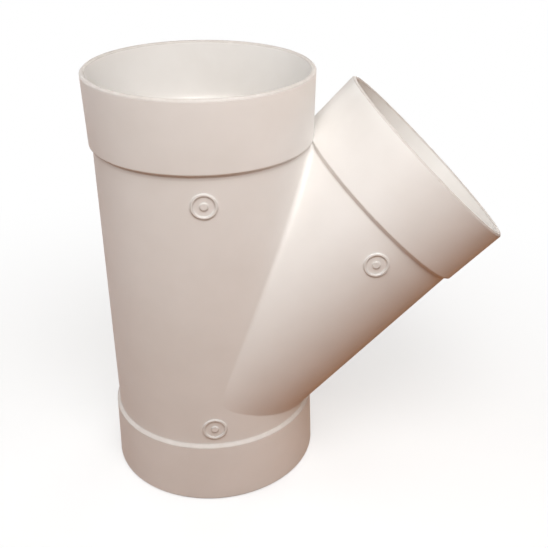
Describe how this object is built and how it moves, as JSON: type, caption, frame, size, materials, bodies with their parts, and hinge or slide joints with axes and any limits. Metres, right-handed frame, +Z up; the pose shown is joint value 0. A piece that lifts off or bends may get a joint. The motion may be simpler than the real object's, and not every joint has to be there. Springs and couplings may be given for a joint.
{
  "type": "lateral wye fitting",
  "caption": "White PVC lateral wye for drain pipe: a straight run with a branch at 45 degrees, and a plain hub socket on every end.",
  "frame": {"origin": "centre of the lower socket's mouth, on the plane of its rim", "axes": "+Z up the axis of the run, +X towards the side that the branch leans to, Y across"},
  "size_m": [0.211, 0.1122, 0.2214],
  "materials": {
    "pvc": "semi-gloss moulded PVC, warm off-white"
  },
  "bodies": {
    "root": {"wye_fitting": "pvc"}
  },
  "joints": []
}
